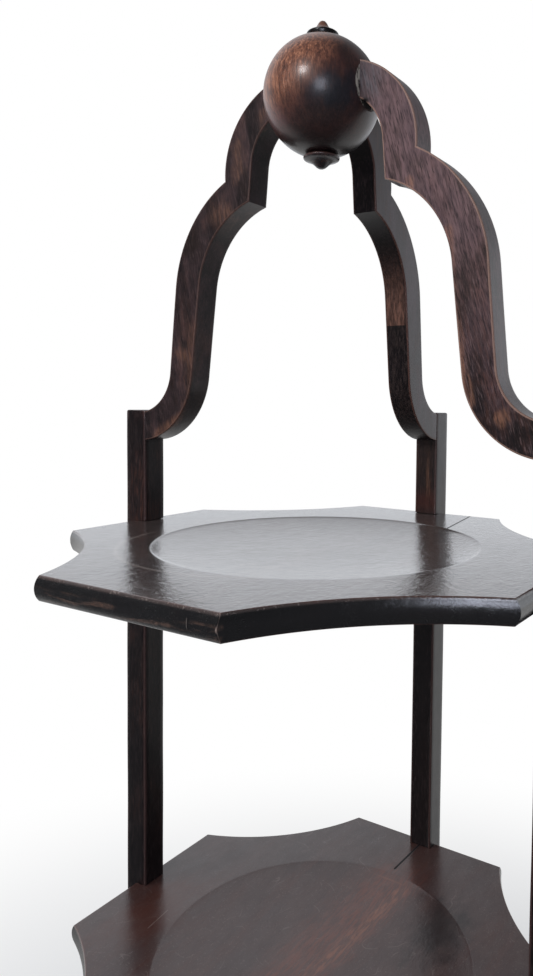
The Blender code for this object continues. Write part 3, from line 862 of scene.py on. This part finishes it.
def board_done(made):
    """A board's material: worn arrises, and a lacquer that is thinner and rougher at the edge."""
    made.worn((0.090, 0.036, 0.028), 0.45, 0.0007)
    coat = 0.70 + (made.blot - 0.5) * 0.6 - made.rim * 0.6 - made.dull
    relief = 2.4 * made.scuffed
    rough = made.gloss + made.rim * 0.12 + made.dull
    return made.done(rough, 0.50, coat, made.wrinkles * (relief - made.rim * (relief - 1.0)))


def upper_board_stain():
    """The upper board: a scribed arc, a glued joint, a rubbed and split front edge, and painted
    highlights on the dish's near lip and down a corner's arris.
    """
    made = board_stain("upper_board_stain", 1.0, "upper", 1.84, 0.10, 1.0)
    x, y, z = made.sides
    ragged = (made.blot - 0.5) * 0.0006
    scribe = made.vector("LENGTH", made.stretched(made.place, (1, 1, 0), (0.0176, 0.0243, 0.0)), output=1)
    arc = (scribe - 0.0797 + ragged).size().between(0.0014, 0.0004)
    arc = arc * (y + 0.35 * x).between(-0.062, -0.078)
    made.lay(DUST, (0.09 + arc * 0.6) * made.top)
    # Painted highlight: a pale line along the dish's lip, on its front right side only.
    lip_highlight = (made.out - 0.0928 + ragged).size().between(0.0022, 0.0006)
    made.lay((0.50, 0.50, 0.52), lip_highlight * (x * 0.58 - y * 0.81).between(0.025, 0.070) * 0.22)
    seam = made.stroke(above(0.031, 0.146, 0.0), above(0.0477, 0.0443, 0.0), 0.0020)
    made.lay(NIGHT, seam * 0.9)
    made.dull = seam * 0.5
    rubbed = made.mottle((42.0, 42.0, 330.0), detail=4.0, roughness=0.6)
    low = z - UPPER_TOP
    face = made.rim * y.between(-0.1395, -0.1405)
    face = face * low.between(-0.0035, -0.0060) * low.between(-0.0118, -0.0100)
    made.lay((0.105, 0.060, 0.044), rubbed.between(0.50, 0.62) * face * (0.25 + made.streak * 0.35))
    front = -HALF_FLATS - 0.0025
    made.lay(NIGHT, made.stroke(above(0.0411, front, 0.0), above(0.0411, front, -0.011), 0.0012) * 0.9)
    made.lay(DUST, made.stroke(above(0.0402, front, 0.0), above(0.0402, front, -0.008), 0.0006) * 0.25)
    # A pale line down the arris at the front scallop's corner: partly worn wood, partly a painted
    # highlight.
    turn = (above(0.0553, -0.1400, 0.0), above(0.0555, -0.1427, -0.006), above(0.0553, -0.1400, -0.012))
    for upper, lower in zip(turn, turn[1:]):
        made.lay((0.36, 0.27, 0.24), made.stroke(upper, lower, 0.0009) * 0.45)
    return board_done(made)


def middle_board_stain():
    """A red-brown band down the middle, painted shade in the dish to its right, with a split at the back
    post's foot.
    """
    made = board_stain("middle_board_stain", 2.0, "middle", 1.62, 0.20, 0.4)
    x, y, _ = made.sides
    level = TIER_TOP["middle"]
    lean = x + (made.cloud - 0.5) * 0.02 - y * 0.05
    band = lean.between(-0.034, -0.006) * lean.between(0.022, 0.008) * y.between(0.125, 0.080)
    made.lay((0.070, 0.022, 0.017), made.top * 0.28)
    made.lay((0.128, 0.034, 0.020), band * (0.22 + made.streak * 0.50) * made.top)
    pale = (x - y * 0.105 - 0.0043 + (made.blot - 0.5) * 0.008).size().between(0.0065, 0.0008)
    pale = pale * y.between(0.092, 0.078) * made.top
    made.lay((0.24, 0.095, 0.055), pale * (0.08 + made.streak * 0.34))
    # Painted shade: a dark patch in the dish's far right side, where its hollow turns from the light.
    made.lay(NIGHT, made.spot((0.052, 0.062, level - 0.002), (0.022, 0.040, 0.01), 0.5) * 0.7)
    made.lay((0.060, 0.018, 0.012), made.spot((-0.105, -0.020, level), (0.025, 0.040, 0.01), 0.6) * 0.5)
    crack = made.stroke((-0.0007, 0.1330, level), (-0.0016, 0.0985, level), 0.0026)
    made.lay(NIGHT, crack)
    made.dull = crack * 0.6
    made.lay((0.17, 0.062, 0.035), made.spot((-0.001, 0.087, level), (0.012, 0.0012, 0.004), 0.5) * 0.5)
    made.lay(DUST, made.stroke((-0.102, -0.0168, level), (-0.0998, -0.0351, level), 0.0006) * 0.5)
    return board_done(made)


def lower_board_stain():
    """The lowest board, with no marks of its own."""
    return board_done(board_stain("lower_board_stain", 3.0, "lower", 1.62, 0.20, 0.4))


def ball_stain():
    """The ball: copper on its upper front, partly rubbed wood and partly painted light, painted
    blue-black shade beside it and below, putty on the flats.
    """
    made = Stain("ball_stain", 2, 14.0, Coat_Weight=0.45, Coat_Roughness=0.2)
    gap = made.vector("SUBTRACT", made.place, (0.0, 0.0, BALL_CENTRE))
    x, y, z = (part / BALL_RADIUS for part in made.along(gap))
    made.tone = made.mix(made.cloud.between(0.36, 0.64), (0.020, 0.0095, 0.0095), (0.056, 0.019, 0.017))
    made.lay(RUST, made.streak * made.blot.between(0.40, 0.60) * 0.35)
    wine = made.spot((-0.014, -0.026, BALL_CENTRE - 0.016), (0.013, 0.013, 0.010), 0.8)
    made.lay((0.060, 0.011, 0.014), wine * 0.6)
    # Painted light: the copper and its flecks lie heaviest on the side facing the lamps, up and to the
    # front left, over the wood's own rubbed copper.
    lit = z * 0.55 - x * 0.30 - y * 0.65 + (made.cloud - 0.5) * 0.45 + (made.blot - 0.5) * 0.20
    made.lay((0.205, 0.080, 0.046), lit.between(0.22, 0.74) * (0.65 + made.streak * 0.25))
    flecks = made.hair.between(0.46, 0.66) * made.streak
    made.lay((0.40, 0.185, 0.105), lit.between(0.35, 0.85) * flecks * 0.9)
    made.lay((0.030, 0.013, 0.012), made.fibre.between(0.50, 0.36) * 0.5)
    shade = made.spot((0.0235, -0.0180, BALL_CENTRE - 0.0075), (0.0150, 0.0170, 0.0120), 0.8)
    made.lay((0.0085, 0.0100, 0.0160), shade * 0.82)
    # Painted shade: darker towards the bottom of the ball.
    made.lay(NIGHT, z.between(-0.55, -0.92) * 0.8)
    made.combed(0.05, 0.45)
    out = x.size().largest(y)
    flat = (out * BALL_RADIUS).between(BALL_FLAT - 0.00012, BALL_FLAT - 0.00004)
    inner = (out ** 2 - (x * x + y * y + z * z)).size() ** 0.5 * BALL_RADIUS
    flat = flat * (inner + (made.blot - 0.5) * 0.003).between(0.0122, 0.0117)
    crackle = made.mottle((560.0, 560.0, 330.0), detail=2.0)
    made.lay(made.mix(crackle.between(0.40, 0.54), (0.020, 0.018, 0.018), PUTTY), flat * 0.85)
    # The flats' lower ends, below the arms, black with putty flecks: a chipped gap, its dark painted
    # shade.
    chip_and_shade = flat * z.between(-0.20, -0.30)
    made.lay(made.mix(crackle.between(0.58, 0.66), NIGHT, PUTTY), chip_and_shade)
    return made.done(0.38, 0.45)


def cap_stain(name, low, high, rim, tip):
    """A cap, from one colour at its rim to another at its tip."""
    made = Stain(name, 2, 17.0, Coat_Weight=0.4, Coat_Roughness=0.18)
    z = made.along(made.place)[2]
    made.tone = made.mix(z.between(low, high), rim, tip)
    made.lay(RUST, made.blot.between(0.45, 0.60) * made.streak * 0.5)
    made.lay(NIGHT, made.pores.between(0.56, 0.72) * 0.4)
    return made.done(0.36)


def beech():
    """Bare beech for the dowels."""
    made = Finish("beech", IOR=1.5)
    fibre = made.mottle((700.0, 700.0, 700.0), (1.0, 0.0, 0.0))
    tone = made.mix(fibre.between(0.3, 0.7), (0.38, 0.24, 0.12), (0.52, 0.36, 0.20))
    return made.finish(Base_Color=tone, Roughness=0.6 + fibre * 0.2)


def screw_steel():
    """Dull plated steel with fine turning marks."""
    made = Finish("screw_steel", Metallic=1.0)
    marks = made.mottle((900.0, 900.0, 900.0))
    tone = made.mix(marks.between(0.3, 0.7), (0.36, 0.34, 0.30), (0.50, 0.48, 0.44))
    return made.finish(Base_Color=tone, Roughness=0.3 + marks * 0.25)


# The stand

def caps():
    """The cap and the pendant: each a spigot and a foot, then a brim and a point.

    Their outlines are shares of the radius and of the height that the frame gives.
    """
    flat = math.sqrt(BALL_RADIUS ** 2 - CAP_FLAT ** 2)
    seat = [(0.003, -0.002), (0.003, FIT), (CAP_FLAT, FIT)]
    top = ((1.00, 0.16), (1.00, 0.27), (0.93, 0.32), (0.73, 0.41), (0.52, 0.53), (0.38, 0.68),
           (0.28, 0.84), (0.16, 0.96), (0.00, 1.00))
    low = ((1.00, 0.16), (1.00, 0.29), (0.93, 0.36), (0.72, 0.46), (0.52, 0.60), (0.38, 0.75),
           (0.27, 0.88), (0.14, 0.97), (0.00, 1.00))
    # Each piece is darker below its brim's level: on the cap that near black is painted shade under the
    # brim; the pendant is dark at its point.
    for name, node, tip, way, shares, brim, rim, end in (
            ("cap", "top_cap", CAP_TIP, 1, top, 0.30, NIGHT, (0.125, 0.055, 0.036)),
            ("pendant", "pendant", PENDANT_TIP, -1, low, 0.36,
             (0.010, 0.009, 0.012), (0.050, 0.026, 0.024))):
        start = BALL_CENTRE + way * flat
        wide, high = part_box(node)[1][0], (tip - start) * way
        knots = seat + [(wide * r, high * h) for r, h in shares]
        level = start + (tip - start) * brim
        stain = cap_stain(name + "_stain", level, level + 0.0012, rim, end)
        cap("turned_" + name, node, knots, start, way, stain)


def hidden_pieces():
    """Materials for the dowels, screws and plugs, which keep their CAD shapes."""
    finishes = {"dowel": beech(), "screw": screw_steel(), "plug": post_stain("plug_stain", 16.0)}
    for name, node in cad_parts.items():
        kind = name.split("_")[0]
        if kind in finishes:
            for slot in node.material_slots:
                slot.material = finishes[kind]


def build_stand():
    """All the pieces of the stand."""
    three = ("left", "back", "right")
    board("upper", three, upper_board_stain())
    board("middle", three, middle_board_stain())
    board("lower", three + ("front",), lower_board_stain())
    post("left_post", "post_left", "left", POST_TOP, post_stain("left_post_stain", 4.0, 0.45, 0.8), 0)
    post("back_post", "post_back", "back", POST_TOP, back_post_stain(), 1)
    post("right_post", "post_right", "right", POST_TOP, post_stain("right_post_stain", 6.0), 2)
    post("short_leg", "front_leg", "front", TIER_TOP["lower"], post_stain("front_leg_stain", 12.0), 30)
    arm("left", left_arm_stain(), 10)
    arm("back", back_arm_stain(), 11)
    arm("right", right_arm_stain(), 12)
    ball(ball_stain())
    caps()
    hidden_pieces()


# The photograph's view, fitted to points of the boards, ball, posts and arms: its place from
# the middle of the upper board's top, its angles in degrees, and in pixels the picture, the
# focal length and the point where the lens's axis meets the picture
CAMERA_PLACE = (0.24980, -0.35085, 0.07987)
CAMERA_TURN, CAMERA_DIP, CAMERA_ROLL = 31.5276, 2.5758, 0.7422
PICTURE_WIDE, PICTURE_HIGH = 533, 976
FOCAL_LENGTH = 758.48
AXIS_ACROSS, AXIS_DOWN = 370.68, 435.8

# The way that the camera looks, over the floor
AHEAD_X, AHEAD_Y = -math.sin(math.radians(CAMERA_TURN)), math.cos(math.radians(CAMERA_TURN))


# Stage, lamps and camera

def ground():
    """A pale floor, white to the camera far from the stand, and dark in mirrors except ahead."""
    mesh = bpy.data.meshes.new("floor")
    reach = 6.0
    corners = [(-reach, -reach, 0), (reach, -reach, 0), (reach, reach, 0), (-reach, reach, 0)]
    mesh.from_pydata(corners, [], [(0, 1, 2, 3)])
    made = placed("floor", mesh)
    finish = Finish("pale_floor", Base_Color=(0.82, 0.82, 0.82, 1.0), Roughness=0.8)
    mesh.materials.append(finish.material)
    x, y, _ = finish.along(finish.place)
    away = ((x * x + y * y) ** 0.5).between(0.3, 1.0)
    seen = finish.node("LightPath", output="Is Camera Ray")
    mirrored = finish.node("LightPath", output="Is Glossy Ray")
    white = finish.node("Emission", {}, {"Color": (1.0, 1.0, 1.0, 1.0)})
    ahead = (x * AHEAD_X + y * AHEAD_Y).between(0.0, 0.6)
    shade = finish.mix(ahead, (0.07, 0.07, 0.075), (0.7, 0.7, 0.7))
    dim = finish.node("Emission", {}, {"Color": shade})
    plain = Value(finish, finish.shader.outputs[0])
    blend = finish.node("MixShader", {}, {0: away * seen, 1: plain, 2: white})
    blend = finish.node("MixShader", {}, {0: mirrored, 1: blend, 2: dim})
    finish.feed(finish.tree.nodes["Material Output"].inputs["Surface"], blend)


def studio():
    """The world: white to the camera, a soft light, and in a mirror bright only ahead.

    There it is a little duller high up, and much duller high up to the right.
    """
    world = bpy.data.worlds.new("studio")
    bpy.context.scene.world = world
    world.use_nodes = True
    sky = Nodes(world.node_tree)
    x, y, z = sky.along(sky.node("TexCoord", output="Generated"))
    ahead = (x * AHEAD_X + y * AHEAD_Y).between(0.05, 0.52)
    aside = (x * AHEAD_Y - y * AHEAD_X).between(-0.15, 0.25)
    dull = z.between(0.15, 0.60) * aside * 0.75
    high = 1 - z.between(0.15, 0.42) * 0.30
    shiny = 0.06 + ahead * 0.94 * high * (1 - dull)
    seen = sky.node("LightPath", output="Is Camera Ray")
    glossy = sky.node("LightPath", output="Is Glossy Ray")
    back = sky.tree.nodes["Background"]
    sky.feed(back.inputs["Strength"],
             seen.largest(glossy * shiny).largest((1 - seen) * (1 - glossy) * 0.35))
    sky.feed(back.inputs["Color"], sky.mix(seen, (0.92, 0.95, 1.0), (1.0, 1.0, 1.0)))


def lamp(name, place, size, power, colour=(1.0, 1.0, 1.0), mirrored=True):
    """A square soft lamp aimed at the upper board."""
    light = bpy.data.lights.new(name, "AREA")
    light.size = size
    light.energy = power
    light.color = colour
    made = placed(name, light)
    made.location = place
    way = Vector((0.0, 0.0, UPPER_TOP)) - Vector(place)
    made.rotation_euler = way.to_track_quat("-Z", "Y").to_euler()
    made.visible_glossy = mirrored


def lamps():
    """Two lamps that the lacquer mirrors, and two that only light."""
    lamp("window", (-0.1, -1.9, UPPER_TOP + 1.3), 0.42, 15.0)
    lamp("sky", (1.1, -1.75, UPPER_TOP + 0.35), 0.65, 8.0, (0.80, 0.85, 1.0))
    lamp("left", (-1.3, -1.6, UPPER_TOP + 1.0), 1.3, 38.0, mirrored=False)
    lamp("right", (1.8, 0.9, UPPER_TOP + 0.9), 1.2, 7.0, (0.88, 0.93, 1.0), mirrored=False)


def camera():
    """The camera at the photograph's place, its frame shifted off the lens's own axis."""
    data = bpy.data.cameras.new("camera")
    data.lens = FOCAL_LENGTH / PICTURE_HIGH * data.sensor_width
    data.shift_x = (PICTURE_WIDE / 2 - AXIS_ACROSS) / PICTURE_HIGH
    data.shift_y = (AXIS_DOWN - PICTURE_HIGH / 2) / PICTURE_HIGH
    data.clip_start = 0.02
    made = placed("camera", data)
    turn = Matrix.Rotation(math.radians(CAMERA_TURN), 4, "Z")
    dip = Matrix.Rotation(math.radians(90 - CAMERA_DIP), 4, "X")
    roll = Matrix.Rotation(math.radians(CAMERA_ROLL), 4, "Z")
    place = Vector(CAMERA_PLACE) + Vector((0, 0, UPPER_TOP))
    made.matrix_world = Matrix.Translation(place) @ turn @ dip @ roll
    bpy.context.scene.camera = made


bpy.context.scene.view_settings.view_transform = "Standard"
camera()
build_stand()
ground()
studio()
lamps()
